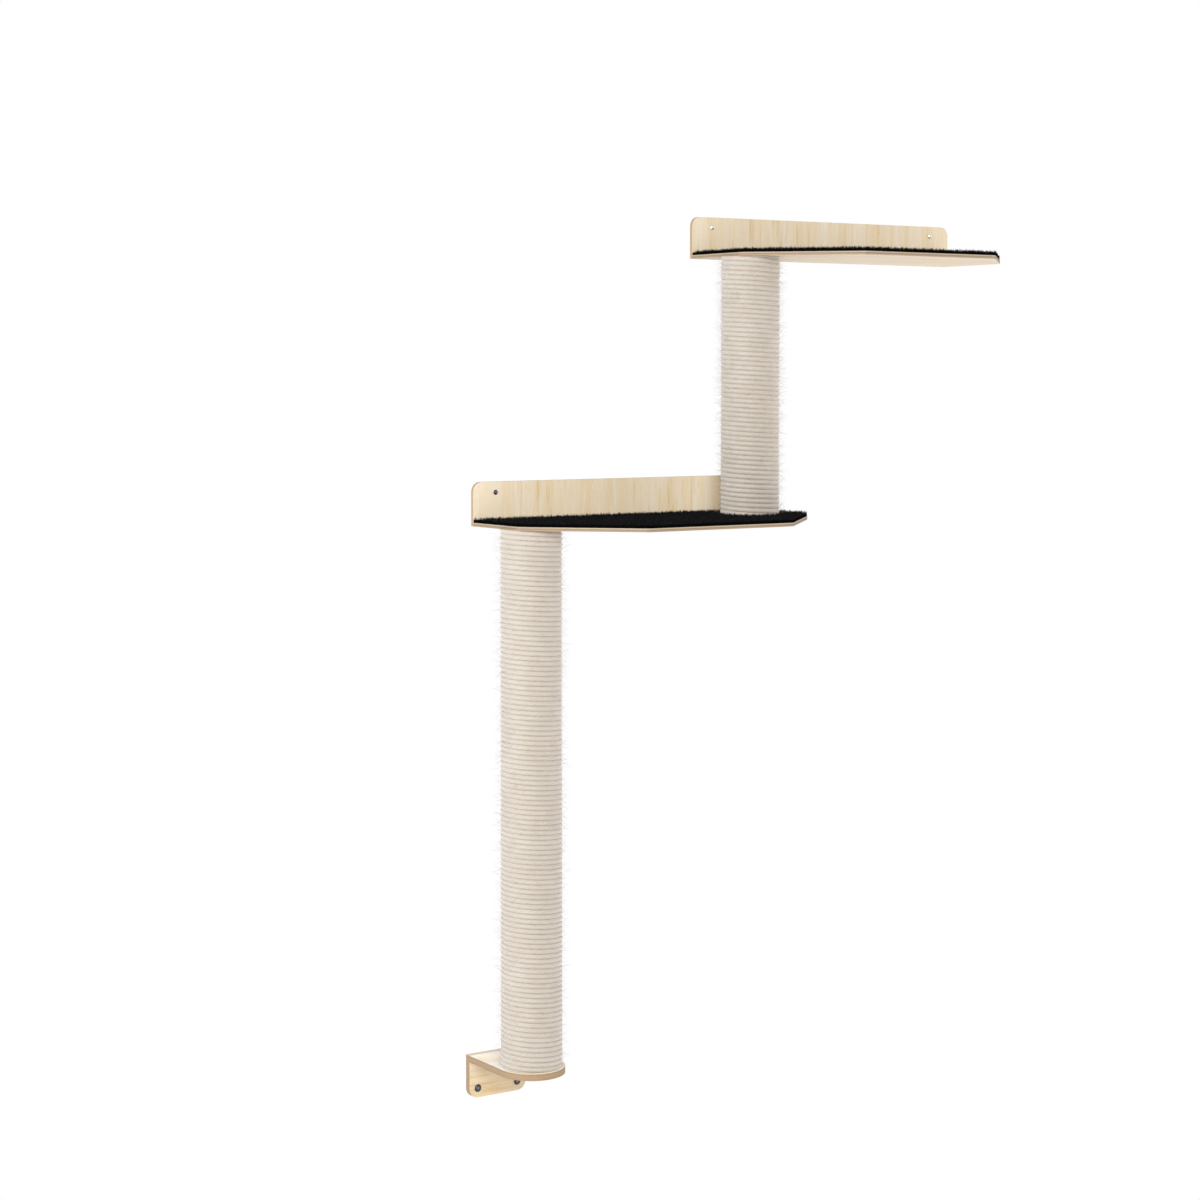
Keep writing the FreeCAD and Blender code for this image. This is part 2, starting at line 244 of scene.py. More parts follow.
def mix(tree, share, first, second, kind="MIX"):
    inputs = {0: share, 6: first, 7: second}
    return add(tree, "ShaderNodeMix", inputs, data_type="RGBA", blend_type=kind).outputs[2]


def tint(tree, colour, share, stops):
    return mix(tree, 1.0, colour, ramp(tree, share, stops), "MULTIPLY")


def specks(tree, place, scale, detail):
    return add(tree, "ShaderNodeTexNoise", {"Vector": place, "Scale": scale, "Detail": detail}).outputs["Fac"]


def paint(finish, *names):
    for name in names:
        piece = nodes[name]
        piece.data.materials.clear()
        piece.data.materials.append(finish)
    print(finish.name, "on", ", ".join(names))


print("axes are numbered", X, Y, Z)

# %% [markdown]
# A veneer has broad bands, finer streaks within them, a warm or cool flush from one strip of wood to the
# next, and a few dark flecks. Each is its own noise, and the numbers say how often it changes per metre
# across and along the grain. A cut edge shows the veneers as stripes, a little rough from the saw.

# %% Veneer faces and cut edges
band_share = 0.55
streak_share = 0.45
veneer_stops = (0.34, 0.43, 0.5, 0.57, 0.68)
warm_flush = (0.985, 0.93, 0.84, 1.0)
cool_flush = (1.01, 1.025, 1.07, 1.0)
dark_fleck = (0.84, 0.81, 0.76, 1.0)
saw_mark = (0.9, 0.88, 0.84, 1.0)


def grain_noise(tree, place, grain, across, along, detail, seed):
    stretch = [across, across, across]
    stretch[grain] = along
    moved = (seed, seed, seed)
    squeezed = add(tree, "ShaderNodeMapping", {"Vector": place, "Scale": stretch, "Location": moved})
    noise = add(tree, "ShaderNodeTexNoise", {
        "Vector": squeezed.outputs[0], "Scale": 1.0, "Detail": detail, "Roughness": 0.6, "Distortion": 0.25,
    })
    return noise.outputs["Fac"]


def veneer_face(tree, place, grain, tones, seed):
    bands = grain_noise(tree, place, grain, across=48.0, along=4.0, detail=2.0, seed=seed)
    streaks = grain_noise(tree, place, grain, across=210.0, along=12.0, detail=3.0, seed=seed + 3.0)
    fine = calculate(tree, "MULTIPLY", streaks, streak_share)
    figure = calculate(tree, "MULTIPLY_ADD", bands, band_share, fine)
    veneer = ramp(tree, figure, list(zip(veneer_stops, tones)))
    flush = grain_noise(tree, place, grain, across=30.0, along=2.0, detail=1.0, seed=seed + 11.0)
    veneer = tint(tree, veneer, flush, [(0.36, warm_flush), (0.64, cool_flush)])
    flecks = grain_noise(tree, place, grain, across=420.0, along=90.0, detail=2.0, seed=seed + 15.0)
    return tint(tree, veneer, flecks, [(0.24, dark_fleck), (0.36, plain_white)])


def cut_edge(tree, place, through, low, thickness, stripes):
    depth = add(tree, "ShaderNodeSeparateXYZ", {0: place}).outputs[through]
    level = calculate(tree, "DIVIDE", calculate(tree, "SUBTRACT", depth, low), thickness)
    layers = ramp(tree, level, stripes, "CONSTANT")
    rough_cut = specks(tree, place, scale=420.0, detail=3.0)
    return tint(tree, layers, rough_cut, [(0.3, saw_mark), (0.6, plain_white)])


print("veneer of", len(veneer_stops), "tones")

# %% [markdown]
# One function makes each plywood from the axis through its thickness, the axis of its grain and its tones.
# The surface's own direction tells face from edge, so that one finish does for the whole solid.

# %% Plywood
turned_towards = 0.5


def plywood(name, node, through, grain, face_tones, stripes, seed, painted_light_on_top=None):
    low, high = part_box(node)
    finish, tree, shader = new_finish(name)
    where = add(tree, "ShaderNodeTexCoord")
    place = where.outputs["Object"]
    normal = where.outputs["Normal"]
    face = veneer_face(tree, place, grain, face_tones, seed)
    edge = cut_edge(tree, place, through, low[through], high[through] - low[through], stripes)
    # painted light: edges that face up get a paler tone than the other cut edges
    if painted_light_on_top:
        rise = add(tree, "ShaderNodeSeparateXYZ", {0: normal}).outputs[Z]
        edge = mix(tree, calculate(tree, "GREATER_THAN", rise, turned_towards), edge, painted_light_on_top)
    axis = [0.0, 0.0, 0.0]
    axis[through] = 1.0
    facing = calculate(tree, "ABSOLUTE", vector(tree, "DOT_PRODUCT", {0: normal, 1: axis}))
    is_face = calculate(tree, "GREATER_THAN", facing, turned_towards)
    tree.links.new(mix(tree, is_face, edge, face), shader.inputs["Base Color"])
    shader.inputs["Roughness"].default_value = 0.58
    shader.inputs["Specular IOR Level"].default_value = 0.3
    fibres = grain_noise(tree, place, grain, across=900.0, along=30.0, detail=3.0, seed=seed + 7.0)
    bump = add(tree, "ShaderNodeBump", {"Strength": 0.25, "Distance": 0.0003, "Height": fibres})
    tree.links.new(bump.outputs[0], shader.inputs["Normal"])
    paint(finish, node)


def tones(*colours):
    return [tone(*colour) for colour in colours]


def paler(colours, share):
    return [tuple(min(1.0, channel * share) for channel in colour[:3]) + (1.0,) for colour in colours]


print("plywood finishes read Object coordinates in metres")

# %% [markdown]
# The wall boards have upright grain with yellow and pinkish streaks. The bracket's grain lies level, and the
# top of its tongue is very pale. The bracket plate's edges that face up are painted paler than its ends,
# painted light as if the top edge caught more light. The shelves are pale below, with tan stripes along their
# cut edges.

# %% Finish the boards, the shelves and the bracket
board_tones = tones((187, 165, 127), (195, 180, 152), (198, 186, 165), (197, 181, 154), (202, 193, 180))
shelf_tones = tones((193, 171, 140), (203, 189, 167), (207, 195, 178), (205, 190, 165), (212, 202, 189))
plate_tones = tones((167, 140, 101), (179, 164, 137), (184, 171, 152), (186, 168, 139), (191, 182, 169))
tongue_tones = tones((208, 195, 169), (219, 210, 196), (224, 219, 208), (222, 211, 193), (226, 224, 216))
board_brown = tone(152, 130, 103)
bracket_brown = tone(137, 114, 90)
board_stripes = [(0.0, board_brown), (0.33, tone(144, 124, 100)), (0.66, board_brown)]
shelf_stripes = [(0.0, tone(138, 119, 97)), (0.36, tone(120, 104, 86)), (0.7, tone(153, 138, 117))]
bracket_stripes = [(0.0, bracket_brown), (0.3, tone(141, 118, 94)), (0.7, bracket_brown)]
# painted light: the paler tone of the bracket plate's up-facing edges
plate_painted_top_light = tone(193, 175, 155)
board_seed, shelf_seed, bracket_seed = 0.0, 5.0, 9.0
# painted light: the lower wall board's tones are made paler and the upper's a little darker, so that both
# boards look equally lit
painted_light_per_board = {"upper": 0.97, "lower": 1.05}

for level in ("upper", "lower"):
    painted_light_board_tones = paler(board_tones, painted_light_per_board[level])
    plywood(level + "_board_ply", level + "_wall_board", Y, Z, painted_light_board_tones, board_stripes, board_seed)
    plywood(level + "_shelf_ply", level + "_shelf", Z, X, shelf_tones, shelf_stripes, shelf_seed)
plywood(
    "bracket_plate_ply", "bracket_wall_plate", Y, X, plate_tones, bracket_stripes, bracket_seed,
    painted_light_on_top=plate_painted_top_light,
)
plywood("bracket_tongue_ply", "bracket_tongue", Z, X, tongue_tones, bracket_stripes, bracket_seed)

# %% [markdown]
# ## Screws and bolts
# The upper board's screws are bright zinc and the others a dark copy of it: painted reflection, the same
# metal painted bright where it reflects bright surroundings and dark where it reflects dark ones. The bolts,
# inserts, plugs and card tubes are inside and show only if the object is taken apart, but each still has a
# finish of its own. Metal is one reflective shader with faint turning marks, which are noise in the
# roughness.
# The drive slots of the wall screws have another tone, found by the direction that their walls and floors
# face: painted shade in the bright screws' slots and a painted glint in the dark ones'.

# %% Metal and fibre
slot_wall_lean = 0.2
slot_floor_lean = 0.995


def metal(name, colour, dull, shiny, slot_painted_light=None):
    finish, tree, shader = new_finish(name)
    where = add(tree, "ShaderNodeTexCoord")
    # painted light: the slot tone is painted shade on the bright screws and a painted glint on the dark ones
    if slot_painted_light:
        facing = add(tree, "ShaderNodeSeparateXYZ", {0: where.outputs["Normal"]}).outputs[Y]
        lean = calculate(tree, "ABSOLUTE", facing)
        on_wall = calculate(tree, "LESS_THAN", lean, slot_wall_lean)
        on_floor = calculate(tree, "GREATER_THAN", lean, slot_floor_lean)
        in_slot = calculate(tree, "MAXIMUM", on_wall, on_floor)
        tree.links.new(mix(tree, in_slot, colour, slot_painted_light), shader.inputs["Base Color"])
    else:
        shader.inputs["Base Color"].default_value = colour
    shader.inputs["Metallic"].default_value = 1.0
    marks = specks(tree, where.outputs["Object"], scale=900.0, detail=3.0)
    spread = add(tree, "ShaderNodeMapRange", {"Value": marks, "To Min": shiny, "To Max": dull})
    tree.links.new(spread.outputs[0], shader.inputs["Roughness"])
    return finish


def plain_fibre(name, dark, pale, scale):
    finish, tree, shader = new_finish(name)
    place = add(tree, "ShaderNodeTexCoord").outputs["Object"]
    fleck = specks(tree, place, scale, detail=5.0)
    tree.links.new(ramp(tree, fleck, [(0.35, dark), (0.65, pale)]), shader.inputs["Base Color"])
    shader.inputs["Roughness"].default_value = 0.8
    return finish


print("slots lie below a lean of", slot_wall_lean, "or above", slot_floor_lean)

# %% Finish the metal and the hidden pieces
posts = ("upper_post", "lower_post")


def of_posts(*endings):
    return [post + ending for post in posts for ending in endings]


# painted reflection: bright and dark copies of one zinc; the slot tones are painted shade and a painted glint
zinc_painted_bright = metal("zinc_painted_bright", tone(236, 236, 236), dull=0.55, shiny=0.35, slot_painted_light=tone(160, 160, 163))
zinc_painted_dark = metal("zinc_painted_dark", tone(62, 62, 66), dull=0.5, shiny=0.3, slot_painted_light=tone(150, 150, 153))
plain_zinc = metal("plain_zinc", tone(196, 196, 190), dull=0.5, shiny=0.3)
insert_brass = metal("insert_brass", tone(206, 172, 104), dull=0.5, shiny=0.3)
brown_card = plain_fibre("brown_card", tone(150, 116, 82), tone(176, 142, 104), scale=160.0)
plug_wood = plain_fibre("plug_wood", tone(186, 150, 104), tone(214, 184, 140), scale=90.0)
joint_screws = [place + "_joint_screws" for place in ("upper", "lower", "bracket")]

paint(zinc_painted_bright, "upper_wall_screws")
paint(zinc_painted_dark, "lower_wall_screws", "bracket_wall_screws")
paint(plain_zinc, *joint_screws, *of_posts("_bolts"))
paint(insert_brass, *of_posts("_inserts"))
paint(brown_card, *of_posts("_tube"))
paint(plug_wood, *of_posts("_bottom_plug", "_top_plug"))

# %% [markdown]
# ## Growing pieces with Geometry Nodes
# Rope turns, rope hairs and carpet pile repeat thousands of times, so each is a small tree of nodes with
# named sizes. A carrier object runs the tree once, the result becomes a plain mesh, and the carrier goes.

# %% Geometry Nodes helpers
def new_tree(name, inputs):
    tree = bpy.data.node_groups.new(name, "GeometryNodeTree")
    tree.interface.new_socket("Geometry", in_out="INPUT", socket_type="NodeSocketGeometry")
    for label, kind in inputs:
        tree.interface.new_socket(label, in_out="INPUT", socket_type="NodeSocket" + kind)
    tree.interface.new_socket("Geometry", in_out="OUTPUT", socket_type="NodeSocketGeometry")
    return tree, tree.nodes.new("NodeGroupInput").outputs


def keep(tree, geometry, name, value, domain="POINT"):
    """Store a number on the geometry under a name that later nodes and finishes can read."""
    inputs = {0: geometry, "Name": name, "Value": value}
    return add(tree, "GeometryNodeStoreNamedAttribute", inputs, data_type="FLOAT", domain=domain).outputs[0]


def close_tree(tree, geometry, finish):
    plain = add(tree, "GeometryNodeRealizeInstances", {"Geometry": geometry})
    dressed = add(tree, "GeometryNodeSetMaterial", {"Geometry": plain.outputs[0], "Material": finish})
    add(tree, "NodeGroupOutput", {0: dressed.outputs[0]})
    print(tree.name, "tree has", len(tree.nodes), "nodes")


def show(name, mesh):
    piece = bpy.data.objects.new(name, mesh)
    bpy.context.scene.collection.objects.link(piece)
    return piece


def grow(name, tree, mesh, sizes):
    carrier = show(name + "_carrier", mesh)
    modifier = carrier.modifiers.new("grow", "NODES")
    modifier.node_group = tree
    for item in tree.interface.items_tree:
        if item.in_out == "INPUT" and item.name in sizes:
            modifier[item.identifier] = sizes[item.name]
    graph = bpy.context.evaluated_depsgraph_get()
    result = carrier.evaluated_get(graph)
    grown = bpy.data.meshes.new_from_object(result, preserve_all_data_layers=True, depsgraph=graph)
    grown.name = name
    bpy.data.objects.remove(carrier)
    triangles = sum(len(face.vertices) - 2 for face in grown.polygons)
    print(name, "has", triangles, "triangles")
    return show(name, grown)


# %% [markdown]
# ## Rope on the posts
# The posts are wound with rope about 8 mm thick, tight from end to end. A stack of rings would be simple, but
# rings don't climb, and here the grooves fall to the right across the front by about a whole rope. That is
# twice what one rope would give, so two ropes run side by side. A spiral curve with a round profile makes one
# rope, and a start angle puts the second beside the first. Each point keeps how far it is along the rope and
# round it.

# %% Rope tree
rope_tree, size = new_tree("rope_winding", [
    ("Foot", "Vector"), ("Winding radius", "Float"), ("Rope radius", "Float"), ("Lead", "Float"),
    ("Start angle", "Float"), ("Height", "Float"), ("Steps per turn", "Int"), ("Sides", "Int"),
    ("Pressing", "Vector"), ("Wobble", "Float"), ("Yarns", "Float"), ("Lay", "Float"),
    ("Valley depth", "Float"), ("Finish", "Material"),
])
spiral = add(rope_tree, "GeometryNodeCurveSpiral", {
    "Resolution": size["Steps per turn"],
    "Rotations": calculate(rope_tree, "DIVIDE", size["Height"], size["Lead"]),
    "Start Radius": size["Winding radius"], "End Radius": size["Winding radius"],
    "Height": size["Height"], "Reverse": False,
})
here = add(rope_tree, "GeometryNodeInputPosition").outputs[0]
turning = {"Vector": here, "Angle": size["Start angle"]}
turned = add(rope_tree, "ShaderNodeVectorRotate", turning, rotation_type="Z_AXIS").outputs[0]
waver = add(rope_tree, "ShaderNodeTexNoise", {"Vector": turned, "Scale": 45.0, "Detail": 1.0})
centred = vector(rope_tree, "SUBTRACT", {0: waver.outputs["Color"], 1: (0.5, 0.5, 0.5)})
wobble = vector(rope_tree, "SCALE", {0: centred, "Scale": size["Wobble"]})
bending = {0: spiral.outputs[0], "Position": turned, "Offset": wobble}
wound = add(rope_tree, "GeometryNodeSetPosition", bending)
upright = add(rope_tree, "GeometryNodeSetCurveNormal", {0: wound.outputs[0]}, mode="Z_UP")

run = add(rope_tree, "GeometryNodeSplineParameter").outputs
path = keep(rope_tree, upright.outputs[0], "along", run["Length"])
circle = {"Resolution": size["Sides"], "Radius": size["Rope radius"]}
ring = add(rope_tree, "GeometryNodeCurvePrimitiveCircle", circle)
pressed = add(rope_tree, "GeometryNodeTransform", {"Geometry": ring.outputs[0], "Scale": size["Pressing"]})
section = keep(rope_tree, pressed.outputs[0], "around", run["Factor"])
tube = add(rope_tree, "GeometryNodeCurveToMesh", {"Curve": path, "Profile Curve": section, "Fill Caps": True})
print("rope tree has", len(rope_tree.nodes), "nodes so far")

# %% [markdown]
# A rope is laid from yarns, three of them here. From the two kept measures the tree sinks three low valleys
# that twist along the rope, so its yarns are real shape and not only shading.

# %% Twist the yarns
def kept(tree, name):
    return add(tree, "GeometryNodeInputNamedAttribute", {"Name": name}, data_type="FLOAT").outputs[0]


lays = calculate(rope_tree, "DIVIDE", kept(rope_tree, "along"), size["Lay"])
twists = calculate(rope_tree, "ADD", lays, kept(rope_tree, "around"))
yarn_twists = calculate(rope_tree, "MULTIPLY", twists, size["Yarns"])
half_waves = calculate(rope_tree, "MULTIPLY", yarn_twists, math.pi)
crown = calculate(rope_tree, "ABSOLUTE", calculate(rope_tree, "SINE", half_waves))
sink = calculate(rope_tree, "MULTIPLY", calculate(rope_tree, "SUBTRACT", crown, 1.0), size["Valley depth"])
outward = add(rope_tree, "GeometryNodeInputNormal").outputs[0]
valley = vector(rope_tree, "SCALE", {0: outward, "Scale": sink})
twisted = add(rope_tree, "GeometryNodeSetPosition", {0: tube.outputs[0], "Offset": valley})
in_place = {"Geometry": twisted.outputs[0], "Translation": size["Foot"]}
moved = add(rope_tree, "GeometryNodeTransform", in_place)
smooth = add(rope_tree, "GeometryNodeSetShadeSmooth", {0: moved.outputs[0]})
close_tree(rope_tree, smooth.outputs[0], size["Finish"])

# %% [markdown]
# The rope is pale sisal, cream where it faces out. Towards its inner side and down into the grooves between
# the turns the finish paints a browner tone, painted shade for the grooves. The finish reads the same two
# measures as the tree, so the valleys between the yarns are painted a little darker exactly where they are
# sunk, as painted shade, and fine fibres lie over everything as noise. A little sheen stands for the fuzz
# that lightens the sides of the posts.

# %% Rope finish
rope_yarns = 3.0
rope_lay = 0.032
painted_valley_shade = (0.86, 0.84, 0.80, 1.0)
fibre_shade = (0.93, 0.92, 0.9, 1.0)
painted_groove_shade = tone(170, 152, 130)
painted_shade_starts = -0.85
painted_shade_is_full = -0.25


def rope_finish():
    finish, tree, shader = new_finish("sisal")
    run = add(tree, "ShaderNodeAttribute", attribute_name="along").outputs["Fac"]
    girth = add(tree, "ShaderNodeAttribute", attribute_name="around").outputs["Fac"]
    twists = calculate(tree, "MULTIPLY_ADD", run, 1.0 / rope_lay, girth)
    half_waves = calculate(tree, "MULTIPLY", twists, rope_yarns * math.pi)
    crown = calculate(tree, "ABSOLUTE", calculate(tree, "SINE", half_waves))
    place = add(tree, "ShaderNodeTexCoord").outputs["Object"]
    fibres = specks(tree, place, scale=700.0, detail=4.0)
    patches = specks(tree, place, scale=26.0, detail=2.0)
    body = ramp(tree, patches, [(0.35, tone(160, 153, 145)), (0.65, tone(164, 158, 151))])
    # painted shade: the valleys between the yarns are darkened where the tree sinks them
    yarn = ramp(tree, crown, [(0.0, painted_valley_shade), (0.4, plain_white)])
    shaded_yarns = mix(tree, 0.5, body, yarn, "MULTIPLY")
    colour = tint(tree, shaded_yarns, fibres, [(0.3, fibre_shade), (0.6, plain_white)])
    # painted shade: a browner tone mixed in towards the rope's inner side, for the grooves between the turns
    inward = calculate(tree, "COSINE", calculate(tree, "MULTIPLY", girth, 2.0 * math.pi))
    depth = {"Value": inward, "From Min": painted_shade_starts, "From Max": painted_shade_is_full}
    painted_shade_share = add(tree, "ShaderNodeMapRange", depth).outputs[0]
    tree.links.new(mix(tree, painted_shade_share, colour, painted_groove_shade), shader.inputs["Base Color"])
    shader.inputs["Roughness"].default_value = 0.85
    shader.inputs["Specular IOR Level"].default_value = 0.15
    shader.inputs["Sheen Weight"].default_value = 0.48
    bump = add(tree, "ShaderNodeBump", {"Strength": 0.15, "Distance": 0.0003, "Height": fibres})
    tree.links.new(bump.outputs[0], shader.inputs["Normal"])
    return finish


sisal = rope_finish()
print("rope finish", sisal.name)

# %% [markdown]
# Each winding is grown one turn too long at both ends and cut off level with the plates it is pressed
# against, because the real first and last turns are squeezed into the corner there and leave no gap.

# %% Wind the posts
rope_radius = 0.0039
rope_pressing = (1.0, 1.1, 1.0)
rope_pitch = 0.00808
rope_count = 2
rope_lead = rope_pitch * rope_count
rope_steps_per_turn = 112
rope_sides = 14
rope_wobble = 0.00015
rope_valley = 0.00035
glue_gap = 0.0041
end_gap = 0.0003
merge_distance = 1e-6


def cut_level(mesh, height, keep_above):
    shape = bmesh.new()
    shape.from_mesh(mesh)
    result = bmesh.ops.bisect_plane(
        shape, geom=shape.verts[:] + shape.edges[:] + shape.faces[:], dist=merge_distance,
        plane_co=(0.0, 0.0, height), plane_no=(0.0, 0.0, 1.0),
        clear_inner=keep_above, clear_outer=not keep_above,
    )
    rims = [item for item in result["geom_cut"] if isinstance(item, bmesh.types.BMEdge)]
    bmesh.ops.holes_fill(shape, edges=rims, sides=0)
    shape.to_mesh(mesh)
    shape.free()


def post_foot(post, lowered=0.0):
    low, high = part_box(post + "_tube")
    return Vector(((low.x + high.x) / 2.0, (low.y + high.y) / 2.0, low.z - lowered))


windings = {}
for post in posts:
    low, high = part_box(post + "_tube")
    winding_radius = (high.x - low.x) / 2.0 + glue_gap
    for strand in range(rope_count):
        name = "%s_rope_%d" % (post, strand + 1)
        winding = grow(name, rope_tree, bpy.data.meshes.new("empty"), {
            "Foot": post_foot(post, rope_lead), "Winding radius": winding_radius, "Rope radius": rope_radius,
            "Lead": rope_lead, "Start angle": 2.0 * math.pi * strand / rope_count,
            "Height": high.z - low.z + 2.0 * rope_lead, "Steps per turn": rope_steps_per_turn,
            "Sides": rope_sides, "Pressing": rope_pressing, "Wobble": rope_wobble, "Yarns": rope_yarns,
            "Lay": rope_lay, "Valley depth": rope_valley, "Finish": sisal,
        })
        cut_level(winding.data, low.z + end_gap, True)
        cut_level(winding.data, high.z - end_gap, False)
        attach(winding, "root")
        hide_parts(post + "_rope", post + "_rope_cover")
        windings[name] = winding
    turns = (high.z - low.z) / rope_pitch
    rope_length = turns * 2.0 * math.pi * winding_radius
    print(post, "has about", round(turns), "turns,", round(rope_length, 1), "m of rope")

# %% [markdown]
# ## Hairs on the rope
# Loose fibres stand off the rope and show as a faint tan haze along both sides of each post. Blender's own
# hair would be quick to comb, but only meshes are exported, so a hair is one thin bent strip. It is
# scattered over the outward side of the rope, turned at random, in random lengths.

# %% Strips and random numbers
def strip(name, length, width, bend, steps):
    """A thin upright strip that narrows and bends towards its pointed tip."""
    mesh = bpy.data.meshes.new(name)
    shape = bmesh.new()
    rows = []
    for step in range(steps):
        rise = step / steps
        half = width / 2.0 * (1.0 - 0.5 * rise)
        spots = [(side * half, bend * rise * rise, length * rise) for side in (-1.0, 1.0)]
        rows.append([shape.verts.new(spot) for spot in spots])
    for lower, upper in zip(rows[:-1], rows[1:]):
        shape.faces.new((lower[0], lower[1], upper[1], upper[0]))
    shape.faces.new((rows[-1][0], rows[-1][1], shape.verts.new((0.0, bend, length))))
    shape.to_mesh(mesh)
    shape.free()
    print(name, "strip has", len(mesh.polygons), "faces")
    return bpy.data.objects.new(name, mesh)


def random_value(tree, kind, lowest, highest, seed):
    node = add(tree, "FunctionNodeRandomValue", data_type=kind)
    inputs = [socket for socket in node.inputs if socket.enabled]
    inputs[0].default_value = lowest
    inputs[1].default_value = highest
    node.inputs["Seed"].default_value = seed
    return [socket for socket in node.outputs if socket.enabled][0]


def random_length(tree, shortest, longest, power, seed):
    """A share of the full length; a power over 1 makes short ones more common."""
    share = calculate(tree, "POWER", random_value(tree, "FLOAT", 0.0, 1.0, seed), power)
    return calculate(tree, "MULTIPLY_ADD", share, longest - shortest, shortest)


hair = strip("hair", length=0.0185, width=0.0002, bend=0.006, steps=3)

# %% Hair tree
outward_enough = 0.5
full_turn = 6.283
hair_lean_least = (0.1, 0.0, 0.0)
hair_lean_most = (0.85, 0.0, full_turn)

hair_tree, size = new_tree("rope_hairs", [
    ("Foot", "Vector"), ("Hair", "Object"), ("Hairs per square metre", "Float"), ("Finish", "Material"),
])
here = add(hair_tree, "GeometryNodeInputPosition").outputs[0]
from_foot = vector(hair_tree, "SUBTRACT", {0: here, 1: size["Foot"]})
level_out = vector(hair_tree, "MULTIPLY", {0: from_foot, 1: (1.0, 1.0, 0.0)})
unit_out = vector(hair_tree, "NORMALIZE", {0: level_out})
normal = add(hair_tree, "GeometryNodeInputNormal").outputs[0]
faces_out = vector(hair_tree, "DOT_PRODUCT", {0: unit_out, 1: normal})
scattered = add(hair_tree, "GeometryNodeDistributePointsOnFaces", {
    0: size["Geometry"], "Selection": calculate(hair_tree, "GREATER_THAN", faces_out, outward_enough),
    "Density": size["Hairs per square metre"], "Seed": 11,
})
hair_source = add(hair_tree, "GeometryNodeObjectInfo", {"Object": size["Hair"]})
hairs = add(hair_tree, "GeometryNodeInstanceOnPoints", {
    "Points": scattered.outputs["Points"], "Instance": hair_source.outputs["Geometry"],
    "Rotation": scattered.outputs["Rotation"],
    "Scale": random_length(hair_tree, shortest=0.35, longest=1.0, power=1.0, seed=3),
})
swung = add(hair_tree, "GeometryNodeRotateInstances", {
    0: hairs.outputs[0],
    "Rotation": random_value(hair_tree, "FLOAT_VECTOR", hair_lean_least, hair_lean_most, seed=5),
})
close_tree(hair_tree, swung.outputs[0], size["Finish"])

# %% Scatter the hairs
hairs_per_area = {"upper_post": 42000.0, "lower_post": 21000.0}
hair_finish, hair_shading, hair_shader = new_finish("sisal_hair")
place = add(hair_shading, "ShaderNodeTexCoord").outputs["Object"]
fleck = specks(hair_shading, place, scale=120.0, detail=2.0)
hair_colour = ramp(hair_shading, fleck, [(0.3, tone(124, 99, 74)), (0.7, tone(144, 117, 89))])
hair_shading.links.new(hair_colour, hair_shader.inputs["Base Color"])
hair_shader.inputs["Roughness"].default_value = 0.7

for name, winding in windings.items():
    post = name.split("_rope_")[0]
    loose_hairs = grow(name + "_hairs", hair_tree, winding.data, {
        "Foot": post_foot(post), "Hair": hair, "Hairs per square metre": hairs_per_area[post],
        "Finish": hair_finish,
    })
    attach(loose_hairs, "root")

# %% [markdown]
# ## Carpet on the shelves
# Each shelf is covered with black carpet, a short cut pile on a thin backing. The lower one is cut round the
# foot of the upper post. Bump in a material would leave the carpet's outline smooth, and here its edge is
# ragged against the pale boards, so the pile is real: copies of one pointed blade stand close together over
# the backing's top, turned and leaning at random. The backing is a copy of the CAD slab, lowered, so that
# its outline always fits the shelf.

# %% Pile tree
blade_lean_least = (-0.45, -0.2, 0.0)
blade_lean_most = (0.45, 0.2, full_turn)

pile_tree, size = new_tree("carpet_pile", [
    ("Blade", "Object"), ("Spacing", "Float"), ("Most per square metre", "Float"), ("Finish", "Material"),
])
planted = add(pile_tree, "GeometryNodeDistributePointsOnFaces", {
    0: size["Geometry"], "Distance Min": size["Spacing"], "Density Max": size["Most per square metre"],
    "Seed": 4,
}, distribute_method="POISSON")
blade_source = add(pile_tree, "GeometryNodeObjectInfo", {"Object": size["Blade"]})
blades = add(pile_tree, "GeometryNodeInstanceOnPoints", {
    "Points": planted.outputs["Points"], "Instance": blade_source.outputs["Geometry"],
    "Scale": random_length(pile_tree, shortest=0.5, longest=1.25, power=2.5, seed=8),
})
leaning = add(pile_tree, "GeometryNodeRotateInstances", {
    0: blades.outputs[0],
    "Rotation": random_value(pile_tree, "FLOAT_VECTOR", blade_lean_least, blade_lean_most, seed=9),
})
blade_shade = random_value(pile_tree, "FLOAT", 0.0, 1.0, seed=12)
shaded = keep(pile_tree, leaning.outputs[0], "shade", blade_shade, domain="INSTANCE")
close_tree(pile_tree, shaded, size["Finish"])

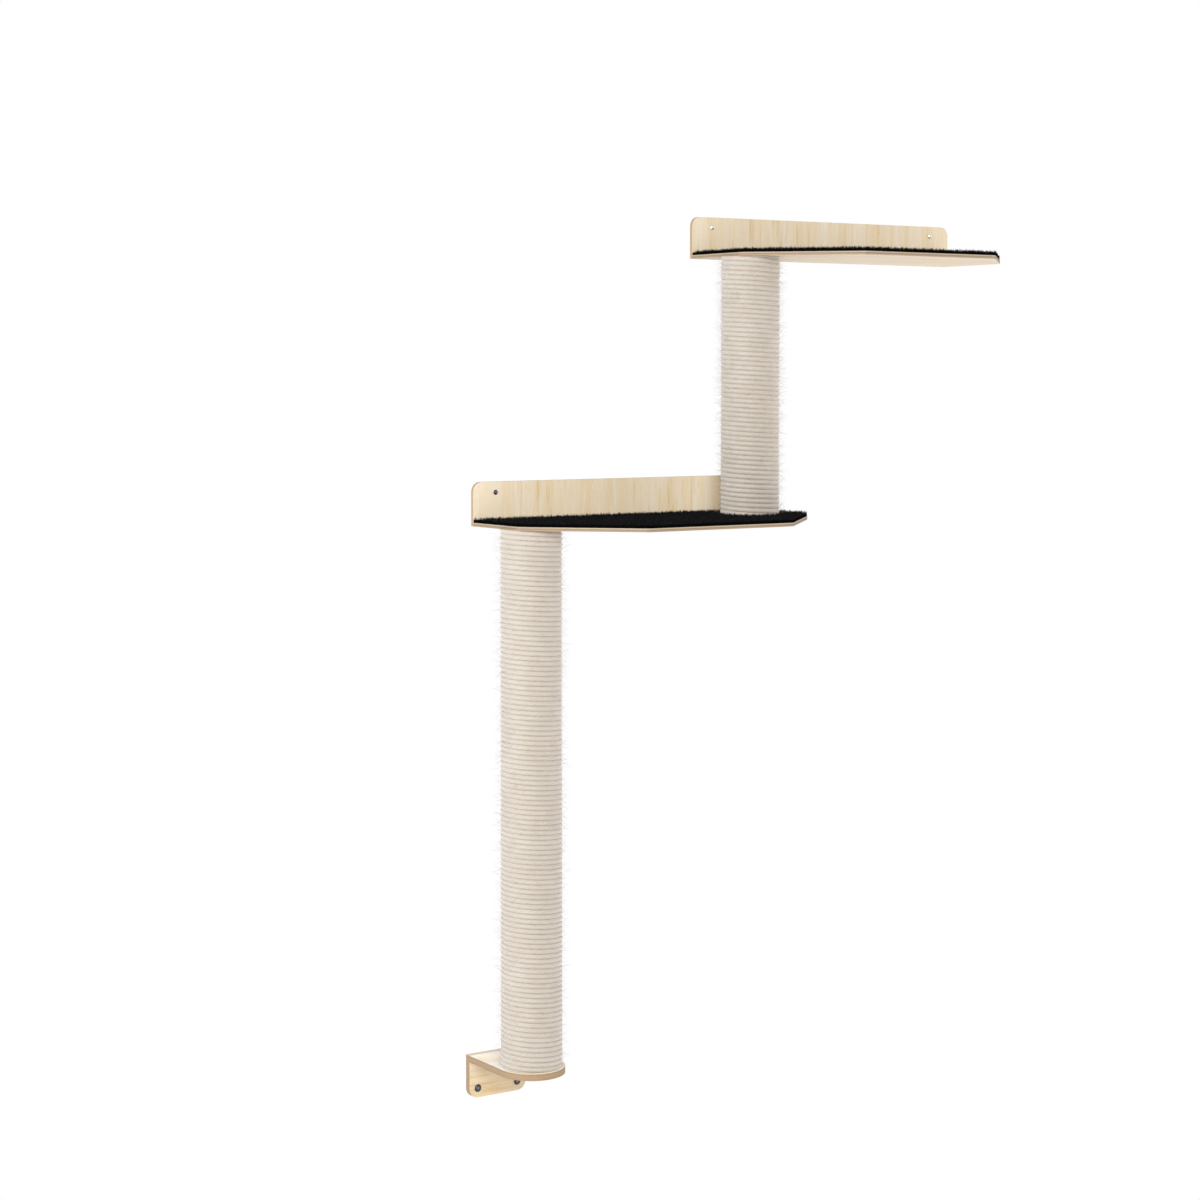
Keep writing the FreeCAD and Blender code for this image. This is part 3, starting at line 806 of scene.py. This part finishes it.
# %% Pile and backing
backing_thickness = 0.0045
blade_spacing = 0.0015
most_blades_per_area = 520000.0
blade = strip("blade", length=0.005, width=0.0012, bend=0.0008, steps=2)

pile_finish, pile_shading, pile_shader = new_finish("black_pile")
shade = add(pile_shading, "ShaderNodeAttribute", attribute_name="shade").outputs["Fac"]
pile_colour = ramp(pile_shading, shade, [(0.0, tone(11, 11, 12)), (1.0, tone(24, 23, 24))])
pile_shading.links.new(pile_colour, pile_shader.inputs["Base Color"])
pile_shader.inputs["Roughness"].default_value = 0.95
pile_shader.inputs["Specular IOR Level"].default_value = 0.05
backing_finish = plain_fibre("black_backing", tone(3, 3, 3), tone(8, 8, 9), scale=300.0)
backing_shader = backing_finish.node_tree.nodes["Principled BSDF"]
backing_shader.inputs["Specular IOR Level"].default_value = 0.0


def carpet_shape(node):
    """A merged copy of the CAD slab, its height cut down to the backing's."""
    low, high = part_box(node)
    shape = bmesh.new()
    shape.from_mesh(nodes[node].data)
    bmesh.ops.remove_doubles(shape, verts=shape.verts, dist=merge_distance)
    for corner in shape.verts:
        if corner.co.z > (low.z + high.z) / 2.0:
            corner.co.z = low.z + backing_thickness
    return shape


print("backing", backing_thickness, "m thick under blades", blade_spacing, "m apart")

# %% Lay the carpets
facing_up = 0.9

for level in ("upper", "lower"):
    node = level + "_carpet"
    low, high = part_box(node)
    shape = carpet_shape(node)
    backing_mesh = bpy.data.meshes.new(level + "_carpet_backing")
    shape.to_mesh(backing_mesh)
    backing_mesh.materials.append(backing_finish)
    backing = show(level + "_carpet_backing", backing_mesh)
    shape.normal_update()
    not_on_top = [face for face in shape.faces if face.normal.z < facing_up]
    bmesh.ops.delete(shape, geom=not_on_top, context="FACES")
    top_mesh = bpy.data.meshes.new(level + "_carpet_top")
    shape.to_mesh(top_mesh)
    area = sum(face.calc_area() for face in shape.faces)
    shape.free()
    pile = grow(level + "_carpet_pile", pile_tree, top_mesh, {
        "Blade": blade, "Spacing": blade_spacing, "Most per square metre": most_blades_per_area,
        "Finish": pile_finish,
    })
    for piece in (backing, pile):
        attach(piece, "root")
    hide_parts(node)
    print(node, "covers", round(area, 4), "square metres")
